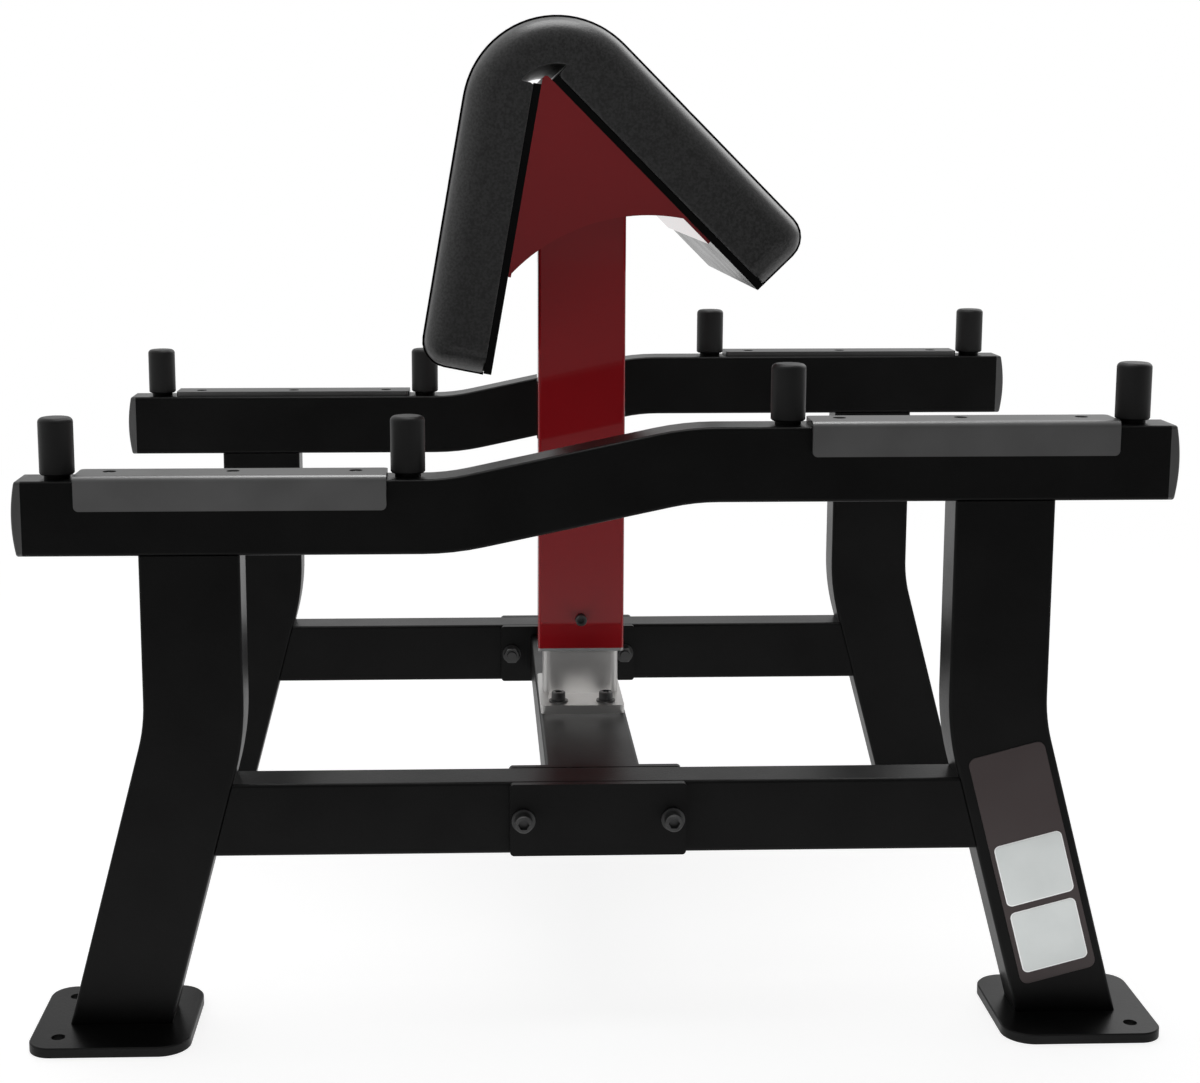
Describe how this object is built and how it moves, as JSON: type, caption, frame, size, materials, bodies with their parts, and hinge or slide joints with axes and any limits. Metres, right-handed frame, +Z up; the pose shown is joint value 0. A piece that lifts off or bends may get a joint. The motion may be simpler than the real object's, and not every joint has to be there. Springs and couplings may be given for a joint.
{
  "type": "preacher curl bench",
  "caption": "Free-standing preacher curl bench: folded arm pad on a red post between two black bent-tube side frames with low and high pegged bar rests.",
  "frame": {"origin": "on the floor at the middle of the footprint", "axes": "+X from the low bar rests to the high ones, +Y to the left of a person standing at the low end and facing +X, +Z up"},
  "size_m": [1.154, 0.846, 1.0261],
  "materials": {
    "frame_paint": "satin black powder coat",
    "red_paint": "gloss dark red paint",
    "rest_plastic": "satin grey",
    "cap_plastic": "satin grey",
    "sleeve_plastic": "matt black",
    "pin_steel": "black",
    "bracket_metal": "satin bright zinc",
    "collar_plastic": "light grey",
    "fastener_steel": "black oxide",
    "pad_vinyl": "fine grained black vinyl",
    "pad_board": "black painted board"
  },
  "bodies": {
    "root": {"right_rack_rail": "frame_paint", "right_stretcher": "frame_paint", "right_clamp_plate": "frame_paint", "right_beam_flange": "frame_paint", "right_gusset": "red_paint", "right_peg_pins": "pin_steel", "right_front_leg": "frame_paint", "right_front_foot": "frame_paint", "right_front_bar_rest": "rest_plastic", "right_front_rail_cap": "cap_plastic", "right_front_outer_peg_sleeve": "sleeve_plastic", "right_front_inner_peg_sleeve": "sleeve_plastic", "right_rear_leg": "frame_paint", "right_rear_foot": "frame_paint", "right_rear_bar_rest": "rest_plastic", "right_rear_rail_cap": "cap_plastic", "right_rear_outer_peg_sleeve": "sleeve_plastic", "right_rear_inner_peg_sleeve": "sleeve_plastic", "left_rack_rail": "frame_paint", "left_stretcher": "frame_paint", "left_clamp_plate": "frame_paint", "left_beam_flange": "frame_paint", "left_gusset": "red_paint", "left_peg_pins": "pin_steel", "left_front_leg": "frame_paint", "left_front_foot": "frame_paint", "left_front_bar_rest": "rest_plastic", "left_front_rail_cap": "cap_plastic", "left_front_outer_peg_sleeve": "sleeve_plastic", "left_front_inner_peg_sleeve": "sleeve_plastic", "left_rear_leg": "frame_paint", "left_rear_foot": "frame_paint", "left_rear_bar_rest": "rest_plastic", "left_rear_rail_cap": "cap_plastic", "left_rear_outer_peg_sleeve": "sleeve_plastic", "left_rear_inner_peg_sleeve": "sleeve_plastic", "cross_beam": "frame_paint", "front_pad_flange": "red_paint", "front_pad_board": "pad_board", "rear_pad_flange": "red_paint", "rear_pad_board": "pad_board", "pad_post": "red_paint", "post_base_plate": "bracket_metal", "post_stub": "bracket_metal", "post_collar": "collar_plastic", "bar_rest_screws": "fastener_steel", "clamp_bolts": "fastener_steel", "clamp_washers": "fastener_steel", "clamp_nuts": "fastener_steel", "base_screws": "fastener_steel", "base_washers": "fastener_steel", "post_screw": "fastener_steel", "pad_screws": "fastener_steel", "arm_pad": "pad_vinyl"}
  },
  "joints": []
}
